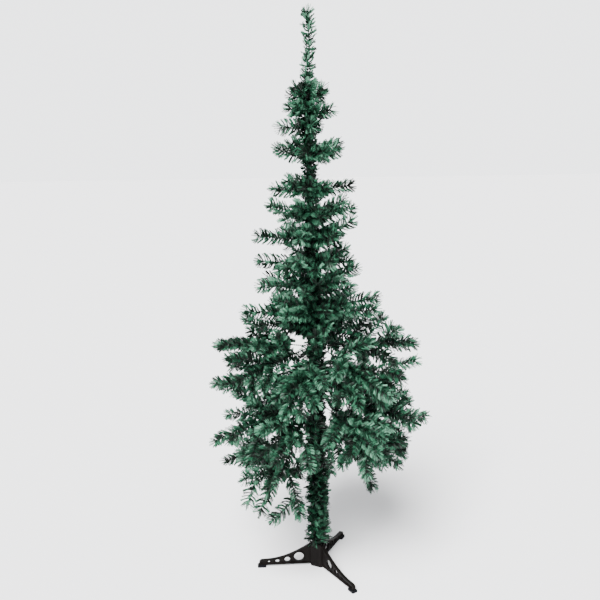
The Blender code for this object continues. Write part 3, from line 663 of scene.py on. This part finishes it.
class Thicket:
    """The sticks so far, with the stretches that a new one has to keep clear of."""

    def __init__(self):
        self.sticks = []
        self.starts = np.empty((0, 3))
        self.ends = np.empty((0, 3))
        self.cores = np.empty(0)
        self.owners = np.empty(0, int)

    def add(self, mass, points, core, smooth=None, kind="stick"):
        points = np.array([tuple(point) for point in points])
        self.starts = np.vstack([self.starts, points[:-1]])
        self.ends = np.vstack([self.ends, points[1:]])
        self.cores = np.append(self.cores, [core] * (len(points) - 1))
        self.owners = np.append(self.owners, [len(self.sticks)] * (len(points) - 1))
        self.sticks.append({"mass": mass, "kind": kind, "core": core, "line": smooth, "points": points})
        return len(self.sticks) - 1

    def room(self, points, parent):
        """The least distance from the points to a stick, apart from the one they grow from."""
        tests = np.array([tuple(point) for point in points])
        along = self.ends - self.starts
        offset = tests[:, None, :] - self.starts[None]
        share = np.clip((offset * along).sum(2) / (along**2).sum(1), 0, 1)
        distances = np.linalg.norm(offset - share[..., None] * along, axis=2) - self.cores
        return distances[:, self.owners != parent].min()

    def is_clear(self, points, core, parent):
        """True if a new stick's points and the middles between them are clear of all others."""
        middles = [here.lerp(after, 0.5) for here, after in zip(points, points[1:])]
        return self.room(points[1:] + middles, parent) > core + CORE_CLEARANCE


def curve_between(start, direction, length, sag, steps):
    """Points along a stick that sets out in a direction and sags, or lifts, towards its end."""
    points = []
    for n in range(steps + 1):
        share = n / steps
        points.append(start + direction * (length * share) + Vector((0, 0, -sag * share * share)))
    return points


def point_along(points, distance):
    for here, after in zip(points, points[1:]):
        step = (after - here).length
        if distance <= step:
            return here.lerp(after, distance / step)
        distance -= step
    return points[-1].copy()


def tuft_steps(length, fewest):
    return max(fewest, round(length / TUFT_LENGTH))


def whorl_branches(seen, draw):
    """The branches of a whorl: those that show, and evenly spaced ones where none does."""
    shown = sorted((azimuth % 360, reach, slope) for azimuth, reach, slope in seen)
    mean_reach = sum(reach for azimuth, reach, slope in shown) / len(shown)
    branches = []
    for here, after in zip(shown, shown[1:] + [(shown[0][0] + 360,)]):
        branches.append(here)
        gap = after[0] - here[0]
        hidden = round(gap / HIDDEN_SPACING) - 1
        for n in range(hidden):
            azimuth = here[0] + gap * (n + 1) / (hidden + 1) + draw.uniform(-6, 6)
            reach = mean_reach * draw.uniform(*HIDDEN_LENGTH)
            branches.append((azimuth, reach, draw.uniform(*HIDDEN_SLOPE)))
    return branches


def grow_sleeves(thicket):
    """What covers the pole itself, mass by mass, as spans of height."""
    half = RING_THICKNESS / 2 + SLEEVE_GAP
    spans = [("foot_cover", FOOT_COVER_FOOT, RINGS[0][0] - half)]
    for n, (below, above) in enumerate(zip(RINGS, RINGS[1:]), 1):
        spans.append((f"pole_tinsel_{n}", below[0] + half, above[0] - half))
    for mass, low, high in spans:
        thicket.add(mass, (pole_axis(low), pole_axis(high)), pole_radius(low) + SLEEVE_WALL, kind="sleeve")
    heights = [height for height, seen in WHORLS]
    foot = RINGS[-1][0] + RING_THICKNESS / 2 + SLEEVE_GAP
    middles = [(below + above) / 2 for below, above in zip(heights, heights[1:])]
    lows = [low + SLEEVE_GAP / 2 for low in [foot] + middles]
    highs = [high - SLEEVE_GAP / 2 for high in middles + [POLE_TOP - SLEEVE_GAP]]
    whorls = []
    for n, (low, height, high) in enumerate(zip(lows, heights, highs), 1):
        points = (pole_axis(low), pole_axis(height), pole_axis(high))
        core = pole_radius(height) + SLEEVE_WALL
        whorls.append(thicket.add(f"whorl_{n:02d}", points, core, kind="sleeve"))
    return whorls


def grow_whorls(thicket, whorls):
    for number, (sleeve, (height, seen)) in enumerate(zip(whorls, WHORLS), 1):
        draw = random.Random(WHORL_SEED + number)
        core = thicket.sticks[sleeve]["core"]
        for azimuth, reach, slope in whorl_branches(seen, draw):
            start = pole_axis(height) + heading(azimuth) * (core - BRANCH_ROOT)
            length = reach / math.cos(math.radians(slope)) - core - NEEDLE_LEAN
            sag = draw.uniform(*BRANCH_SAG)
            direction = heading(azimuth, slope)
            steps = tuft_steps(length, 2)
            points = curve_between(start, direction, length, sag, steps)
            if thicket.is_clear(points, CORE_RADIUS, sleeve):
                smooth = curve_between(start, direction, length, sag, steps * FINER)
                thicket.add(thicket.sticks[sleeve]["mass"], points, CORE_RADIUS, smooth, "branch")


def grow_leader(thicket):
    foot, top = POLE_TOP + GAP, TREE_HEIGHT - NEEDLE_LEAN
    lines = []
    for steps in (LEADER_STEPS, LEADER_STEPS * FINER):
        points = [pole_axis(foot + (top - foot) * n / steps) for n in range(steps + 1)]
        for n, point in enumerate(points):
            point.x += LEADER_SWAY * math.sin(LEADER_BEND * n / steps)
        lines.append(points)
    thicket.add("leader", lines[0], CORE_RADIUS, lines[1], "leader")


def grow_side_tips(thicket, spray, points, stem, tip, side_tips, out, draw):
    """Tips that fan out round the stem, most of them to its sides. One with no room is skipped."""
    level = out.cross(Vector((0, 0, 1))).normalized()
    upward = level.cross(out)
    widest, narrowest = SIDE_TIP_SPREAD
    first_roll = draw.uniform(0, 360)
    for n in range(side_tips):
        share = n / (side_tips - 1)
        along = FIRST_SIDE_TIP + (stem - FIRST_SIDE_TIP) * share
        start = point_along(points, along)
        for attempt in range(TRIES_PER_TIP):
            roll = math.radians(first_roll + SIDE_TIP_TURN * n + draw.uniform(-30, 30))
            spread = math.radians(widest + (narrowest - widest) * share + draw.uniform(-8, 8))
            aside = (level * math.cos(roll) + upward * (math.sin(roll) * SIDE_TIP_FLATNESS)).normalized()
            direction = (out * math.cos(spread) + aside * math.sin(spread)).normalized()
            length = tip * draw.uniform(*SIDE_TIP_LENGTH)
            steps = tuft_steps(length, 3)
            side = curve_between(start, direction, length, length * SIDE_TIP_SAG, steps)
            ahead = point_along(points, along + STEM_AHEAD)
            nearest = min((ahead - point).length for point in side[2:])
            if thicket.is_clear(side, CORE_RADIUS, spray) and nearest > CORE_CLEARANCE:
                smooth = curve_between(start, direction, length, length * SIDE_TIP_SAG, steps * FINER)
                thicket.add(thicket.sticks[spray]["mass"], side, CORE_RADIUS, smooth, "side tip")
                break


def grow_boughs(thicket):
    sprays = []
    for number, (height, wire, stem, tip, side_tips, azimuth, slope) in enumerate(BOUGHS, 1):
        out = heading(azimuth, slope)
        start = bough_foot(height, azimuth, slope)
        thicket.add(f"bough_{number:02d}", (start, start + out * wire), WIRE_RADIUS, kind="wire")
        length = stem + tip
        foot = start + out * (wire + GAP)
        steps = tuft_steps(length, 3)
        points = curve_between(foot, out, length, length * STEM_SAG, steps)
        smooth = curve_between(foot, out, length, length * STEM_SAG, steps * FINER)
        spray = thicket.add(f"spray_{number:02d}", points, CORE_RADIUS, smooth, "stem")
        sprays.append((spray, points, stem, tip, side_tips, out))
    for number, (spray, points, stem, tip, side_tips, out) in enumerate(sprays, 1):
        draw = random.Random(BOUGH_SEED + number)
        grow_side_tips(thicket, spray, points, stem, tip, side_tips, out, draw)


thicket = Thicket()
whorls = grow_sleeves(thicket)
grow_whorls(thicket, whorls)
grow_leader(thicket)
grow_boughs(thicket)

# The needles: narrow strips of green PVC film, caught between the two twisted wires of a stick, so
# that they stand out in two blades that wind round it like a screw and lean towards its tip. The
# film comes in a few shades. Each needle's half near the wire gets a colour two shades darker:
# painted shade, standing in for the shade that the next needles cast on it.
NEEDLE_WIDTH = 0.0020
NEEDLE_WIDTHS = (0.8, 1.15)  # the narrowest and widest needle, of that
NEEDLE_ENDS = 0.8  # width at root and tip, of the middle's
NEEDLE_TWIST = 0.3  # radians from root to middle, and again to the tip
NEEDLE_PITCH = 0.00042  # between pairs of needles along a stick
BLADE_TURN = 0.0150  # length of one turn of the two blades
BUNDLE = 9  # needles that lie together
BUNDLE_GRIP = 0.72  # how far they close up, of the way
BUNDLE_SHADES = ((-2, 0, 1, 2), (0.25, 0.35, 0.25, 0.15))  # off the stick's own, and how often each
NEEDLE_SHADES = ((-1, 0, 1), (0.15, 0.70, 0.15))  # off the bundle's
STICK_SHADES = ((2, 3, 4), (0.25, 0.40, 0.35))
STICK_STRAND = 0.0008
STICK_LAY = 0.006
STEM_SIDES_BARE = 0.010
STICK_ROOT_BARE = 0.002
BRUSH_END = 0.014  # length at a stick's tip where the needles close over its end
SHADES = (  # of the film, from the darkest to the lightest
    (0.0014, 0.0056, 0.0028),
    (0.0032, 0.0145, 0.0074),
    (0.0064, 0.0300, 0.0155),
    (0.0130, 0.0640, 0.0330),
    (0.0290, 0.1120, 0.0620),
    (0.0850, 0.2100, 0.1350),
)
film = []
for number, colour in enumerate(SHADES, 1):
    shade = bpy.data.materials.new(f"needle film {number}")
    shade.use_nodes = True
    shader = shade.node_tree.nodes["Principled BSDF"]
    shader.inputs["Base Color"].default_value = (*colour, 1)
    shader.inputs["Roughness"].default_value = 0.45
    shader.inputs["Specular IOR Level"].default_value = 0.25
    film.append(shade)


def strips(roots, tips, bows, rolls, draw):
    """Strips of film from root to tip by way of a bowed middle, twisted a little: three pairs of
    vertices and two faces each."""
    along = tips - roots
    along /= np.linalg.norm(along, axis=1)[:, None]
    level = np.cross(along, [0.31, 0.17, 0.94])
    level /= np.linalg.norm(level, axis=1)[:, None]
    other = np.cross(along, level)
    twist = rolls + draw.normal(0, 0.25, len(roots))
    width = NEEDLE_WIDTH * draw.uniform(*NEEDLE_WIDTHS, len(roots))
    middles = (roots + tips) / 2 + bows
    rows = []
    for step, (place, narrow) in enumerate(((roots, NEEDLE_ENDS), (middles, 1.0), (tips, NEEDLE_ENDS))):
        turn = (twist + NEEDLE_TWIST * step)[:, None]
        half = (level * np.cos(turn) + other * np.sin(turn)) * (width * narrow / 2)[:, None]
        rows += [place - half, place + half]
    return np.stack(rows, axis=1)


def stick_needles(line, bare, reach, lean, pitch, tone, draw, loose=0.12, pole=False):
    """The needles of one stick and the shade of each. They lie together in bundles, which differ in
    lean, length and shade. About half of the last ones close over the stick's end. Round the pole,
    those that would run into it are folded outwards."""
    line, places = resample(line, 0.004)
    tangents, side, other = frames_along(line)
    length = places[-1]
    count = int((length - bare) / pitch)
    bundle = np.repeat(np.arange(count) // BUNDLE, 2) * 2 + np.tile([0, 1], count)

    def per_bundle(values):
        return values[bundle]

    bundles = bundle.max() + 1
    spots = np.repeat(np.linspace(bare, length, count), 2)
    turn = spots * math.tau / BLADE_TURN + np.tile([0, math.pi], count)
    middles = np.bincount(bundle, turn, bundles) / np.bincount(bundle, minlength=bundles)
    turn += (per_bundle(middles) - turn) * BUNDLE_GRIP + draw.normal(0, 0.05, count * 2)
    turn += per_bundle(draw.normal(0, 0.12, bundles)) + draw.uniform(0, math.tau)

    def at_spots(values):
        return np.stack([np.interp(spots, places, values[:, k]) for k in range(3)], axis=1)

    centre, ahead = at_spots(line), at_spots(tangents)
    outward = at_spots(side) * np.cos(turn)[:, None] + at_spots(other) * np.sin(turn)[:, None]
    closing = np.clip(1 - (length - spots) / BRUSH_END, 0, 1)
    closing_angle = closing * draw.uniform(0, 1.2, count * 2) * (draw.random(count * 2) < 0.5)
    angle = np.arctan2(reach, lean) - closing_angle
    angle += per_bundle(draw.normal(0, loose, bundles)) + draw.normal(0, 0.05, count * 2)
    long = math.hypot(reach, lean) * draw.uniform(0.93, 1.04, count * 2) * (1 - 0.12 * closing)
    long *= per_bundle(draw.uniform(0.86, 1.02, bundles))
    direction = outward * np.sin(angle)[:, None] + ahead * np.cos(angle)[:, None]
    if pole:
        from_pole = centre - np.array([tuple(pole_axis(height)) for height in centre[:, 2]])
        from_pole /= np.linalg.norm(from_pole, axis=1)[:, None]
        inward = np.minimum((direction * from_pole).sum(1) - 0.15, 0)
        direction -= 2 * from_pole * inward[:, None]
        direction /= np.linalg.norm(direction, axis=1)[:, None]
        direction += per_bundle(draw.normal(0, 0.22, (bundles, 3)))
    roots = centre + outward * STICK_STRAND
    tips = roots + direction * long[:, None]
    bend = draw.normal(0, 0.02, tips.shape) + per_bundle(draw.normal(0, 0.04, (bundles, 3)))
    bows = (ahead * -0.05 + outward * 0.06 + bend) * long[:, None]
    rolls = per_bundle(draw.uniform(0, math.pi, bundles))
    shades = tone + per_bundle(draw.choice(BUNDLE_SHADES[0], bundles, p=BUNDLE_SHADES[1]))
    shades += draw.choice(NEEDLE_SHADES[0], count * 2, p=NEEDLE_SHADES[1])
    return strips(roots, tips, bows, rolls, draw), np.clip(shades, 0, len(SHADES) - 1)


def needle_piece(name, lots, *nodes):
    """One object from the strips of several sticks, each lot with the shade of every needle's outer
    half. Its inner half is painted two shades darker, as painted shade from the needles further out."""
    vertices = np.concatenate([points for points, shades in lots])
    outer = np.concatenate([shades for points, shades in lots])
    first = np.arange(len(vertices))[:, None] * 6
    faces = np.concatenate([first + [[0, 1, 3, 2]], first + [[2, 3, 5, 4]]])
    # Painted shade: each needle's inner half is two shades darker than its outer half.
    shades = np.concatenate([np.maximum(outer - 2, 0), outer])
    mesh = bpy.data.meshes.new(name)
    mesh.vertices.add(vertices.size // 3)
    mesh.vertices.foreach_set("co", vertices.astype(np.float32).ravel())
    mesh.loops.add(faces.size)
    mesh.loops.foreach_set("vertex_index", faces.astype(np.int32).ravel())
    mesh.polygons.add(len(faces))
    mesh.polygons.foreach_set("loop_start", np.arange(0, faces.size, 4, dtype=np.int32))
    used = np.unique(shades)
    for shade in used:
        mesh.materials.append(film[shade])
    mesh.polygons.foreach_set("material_index", np.searchsorted(used, shades).astype(np.int32))
    mesh.update(calc_edges=True)
    made = bpy.data.objects.new(name, mesh)
    bpy.context.collection.objects.link(made)
    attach(made, "root")
    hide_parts(*nodes)


# Each mass has more sticks than its solid has cores, and they are no longer straight. Short ones fill
# in round the stem and the long tips of a spray, and between the branches of a whorl, within the same
# reach. They come from draws of their own, after all the sticks above.
FILL_TIPS = 3  # for each spray
FILL_LENGTH = (0.45, 0.70)  # of a long tip
FILL_SPREAD = (40, 72)
FILL_BRANCHES = 52  # for each metre of the whorl's mean reach
FILL_REACH = (0.45, 0.85)  # of the whorl's mean reach
FILL_CLEARANCE = 0.0045
FILL_SEED = 5300
BEND = 0.0060  # how far a stick's middle or its tip is off the straight line


def bend_stick(stick, draw):
    """Gives the stick's smooth line a slow bend one way and a turn of its tip the other."""
    line = np.array([tuple(point) for point in stick["line"]])
    share = np.linspace(0, 1, len(line))[:, None]
    along = (line[-1] - line[0]) / np.linalg.norm(line[-1] - line[0])
    bow, hook = (np.array([draw.gauss(0, 0.5) for axis in range(3)]) * BEND for part in range(2))
    hook[2] += BEND * 0.35
    bow -= along * bow.dot(along)
    hook -= along * hook.dot(along)
    stick["line"] = line + bow * np.sin(share * math.pi) + hook * share**3


def fill_spray(thicket, mass, tip, draw):
    parents = [n for n, stick in enumerate(thicket.sticks) if stick["mass"] == mass]
    for n in range(FILL_TIPS):
        for attempt in range(TRIES_PER_TIP):
            parent = parents[0] if n % 2 else draw.choice(parents)
            line = thicket.sticks[parent]["line"]
            place = draw.randint(len(line) // 3, len(line) * 2 // 3)
            ahead = (line[place + 1] - line[place]).normalized()
            aside = ahead.cross(Vector([draw.gauss(0, 1) for axis in range(3)])).normalized()
            spread = math.radians(draw.uniform(*FILL_SPREAD))
            direction = (ahead * math.cos(spread) + aside * math.sin(spread)).normalized()
            length = tip * draw.uniform(*FILL_LENGTH)
            points = curve_between(line[place], direction, length, length * SIDE_TIP_SAG, 3)
            if thicket.room(points[1:], parent) > CORE_RADIUS + FILL_CLEARANCE:
                smooth = curve_between(line[place], direction, length, length * SIDE_TIP_SAG, 3 * FINER)
                thicket.add(mass, points, CORE_RADIUS, smooth, "fill tip")
                break


def fill_whorl(thicket, sleeve, seen, draw):
    low, middle, high = thicket.sticks[sleeve]["points"][:, 2]
    mean_reach = sum(reach for azimuth, reach, slope in seen) / len(seen)
    count = round(mean_reach * FILL_BRANCHES)
    for n in range(count):
        for attempt in range(TRIES_PER_TIP):
            height = middle + draw.choice((-1, 1)) * draw.uniform(0.2, 0.4) * (high - low) / 2
            azimuth = 360 * n / count + draw.uniform(0, 60)
            direction = heading(azimuth, draw.uniform(0, 24))
            start = pole_axis(height) + heading(azimuth) * (pole_radius(height) + 0.002)
            length = max(0.030, mean_reach * draw.uniform(*FILL_REACH) - NEEDLE_LEAN)
            points = curve_between(start, direction, length, 0.0, 3)
            if thicket.room(points[1:], sleeve) > CORE_RADIUS + FILL_CLEARANCE:
                smooth = curve_between(start, direction, length, 0.0, 3 * FINER)
                thicket.add(thicket.sticks[sleeve]["mass"], points, CORE_RADIUS, smooth, "branch")
                break


for number, (height, wire, stem, tip, *rest) in enumerate(BOUGHS, 1):
    fill_spray(thicket, f"spray_{number:02d}", tip, random.Random(FILL_SEED + number))
for number, (sleeve, (height, seen)) in enumerate(zip(whorls, WHORLS), 1):
    fill_whorl(thicket, sleeve, seen, random.Random(FILL_SEED + 100 + number))
for number, stick in enumerate(thicket.sticks):
    if stick["kind"] in ("branch", "stem", "side tip", "fill tip"):
        bend_stick(stick, random.Random(FILL_SEED + 200 + number))

# The tinsel on the pole itself: a stick of the same film wound tightly round it from end to end, its
# needles pressed flat against the pole or folded outwards. At the foot it is wound more loosely and
# is thicker, and hides the pole from the stand to the first ring.
COIL_STEP = 0.0105
COILS = {  # mass: how far its wire winds off the pole, and how long its needles are
    "foot_cover": (0.0045, 0.0195),
    "pole_tinsel_1": (0.0020, 0.0165),
    "pole_tinsel_2": (0.0020, 0.0165),
    "whorl": (0.0016, 0.0155),
}
COIL_POINTS = 20  # on each turn
COIL_PITCH = 0.0007
COIL_LOOSE = 0.25
BARE = {"stem": STICK_ROOT_BARE, "branch": STICK_ROOT_BARE, "leader": 0.0}
STICK_REACH = 0.0205
BRANCH_REACH = 0.0225
STICK_LOOSE = 0.11
LEADER_BRUSH = (0.0180, 0.0125, 0.00034, 0.30)  # reach, lean, pitch and looseness of its needles
LEADER_FOOT = (0.0, 0.0215, 0.0110, 0.0004, 3)  # the thicker tuft that hides its joint with the pole
NEEDLE_SEED = 7000
masses = {}
for stick in thicket.sticks:
    if stick["kind"] != "wire":
        masses.setdefault(stick["mass"], []).append(stick)
for number, (mass, sticks) in enumerate(sorted(masses.items())):
    draw = np.random.default_rng(NEEDLE_SEED + number)
    lots, cores = [], []
    for stick in sticks:
        if stick["kind"] == "sleeve":
            off, long = COILS.get(mass, COILS["whorl"])
            low, high = stick["points"][0][2] + 0.001, stick["points"][-1][2] - 0.001
            winds = (high - low) / COIL_STEP
            turns = np.linspace(0, winds * math.tau, int(winds * COIL_POINTS))
            heights = low + turns / math.tau * COIL_STEP
            radius = pole_radius((low + high) / 2) + off
            axis = np.array([tuple(pole_axis(height)) for height in heights])
            line = axis + np.stack([np.cos(turns), np.sin(turns), turns * 0], axis=1) * radius
            # Painted shade: the film on the pole from the first ring up to the whorls below 0.95 m, deep
            # inside the crown, gets a darker tone than the foot cover and the higher whorls.
            tone = 2 if mass == "foot_cover" or low > 0.95 else 1
            reach, lean = long * 0.92, long * 0.4
            lots.append(stick_needles(line, 0.0, reach, lean, COIL_PITCH, tone, draw, COIL_LOOSE, True))
            cores.append(twisted_pair(line, STICK_STRAND, STICK_LAY, 0.003, 4))
            continue
        bare = BARE.get(stick["kind"], STEM_SIDES_BARE)
        reach, lean, pitch, loose = STICK_REACH, NEEDLE_LEAN, NEEDLE_PITCH, STICK_LOOSE
        if stick["kind"] == "branch":
            reach = BRANCH_REACH
        if stick["kind"] == "leader":
            reach, lean, pitch, loose = LEADER_BRUSH
            lots.append(stick_needles(stick["line"][:7], *LEADER_FOOT, draw))
        tone = draw.choice(STICK_SHADES[0], p=STICK_SHADES[1])
        lots.append(stick_needles(stick["line"], bare, reach, lean, pitch, tone, draw, loose))
        cores.append(twisted_pair(stick["line"], STICK_STRAND, STICK_LAY, 0.003, 4))
    needle_piece(f"{mass}_needles", lots, mass)
    core = mesh_piece(f"{mass}_wires", cores)
    put_on(core, "branch_wire", wire_paint)

# The room: a plain pale floor under soft studio light, and the camera where the photo was taken from,
# a step back and a little above the middle of the tree.
FLOOR_SIZE = 60.0
WORLD_GLOW = {"From Min": 0.16, "From Max": 0.6, "To Min": 3.3, "To Max": 0.4}  # strength by height
LIGHT_FROM = Vector((-0.30, -0.90, 1.15))
LIGHT_STRENGTH = 12.5
LIGHT_ACROSS = 32
CAMERA_PLACE = (0, -1.90, 1.153)
CAMERA_DOWN = 11.5
CAMERA_LEFT = 1.25
CAMERA_ROLL = -0.82
bpy.ops.object.select_all(action="DESELECT")
bpy.ops.mesh.primitive_plane_add(size=FLOOR_SIZE, location=(0, 0, 0))
floor = bpy.context.object
floor.name = "studio_floor"
paper = bpy.data.materials.new("pale paper")
paper.use_nodes = True
paper.node_tree.nodes["Principled BSDF"].inputs["Base Color"].default_value = (0.90, 0.90, 0.91, 1)
paper.node_tree.nodes["Principled BSDF"].inputs["Roughness"].default_value = 0.9
floor.data.materials.append(paper)

world = bpy.data.worlds.new("studio")
world.use_nodes = True
nodes, links = world.node_tree.nodes, world.node_tree.links
place = nodes.new("ShaderNodeTexCoord")
split = nodes.new("ShaderNodeSeparateXYZ")
glow = nodes.new("ShaderNodeMapRange")
glow.interpolation_type = "SMOOTHSTEP"
for label, value in WORLD_GLOW.items():
    glow.inputs[label].default_value = value
nodes["Background"].inputs["Color"].default_value = (0.97, 0.98, 1.0, 1)
links.new(place.outputs["Generated"], split.inputs["Vector"])
links.new(split.outputs["Z"], glow.inputs["Value"])
links.new(glow.outputs["Result"], nodes["Background"].inputs["Strength"])
bpy.context.scene.world = world
lamp = bpy.data.lights.new("overhead light", "SUN")
lamp.energy = LIGHT_STRENGTH
lamp.angle = math.radians(LIGHT_ACROSS)
holder = bpy.data.objects.new("overhead light", lamp)
holder.location = LIGHT_FROM * 3
holder.rotation_euler = LIGHT_FROM.to_track_quat("Z", "Y").to_euler()
bpy.context.collection.objects.link(holder)

camera = bpy.data.objects.new("camera", bpy.data.cameras.new("camera"))
camera.data.lens = 44.1
camera.data.sensor_width = 36
camera.matrix_world = (
    Matrix.Translation(CAMERA_PLACE)
    @ Matrix.Rotation(math.radians(CAMERA_LEFT), 4, "Z")
    @ Matrix.Rotation(math.radians(90 - CAMERA_DOWN), 4, "X")
    @ Matrix.Rotation(math.radians(CAMERA_ROLL), 4, "Z")
)
bpy.context.collection.objects.link(camera)
bpy.context.scene.camera = camera
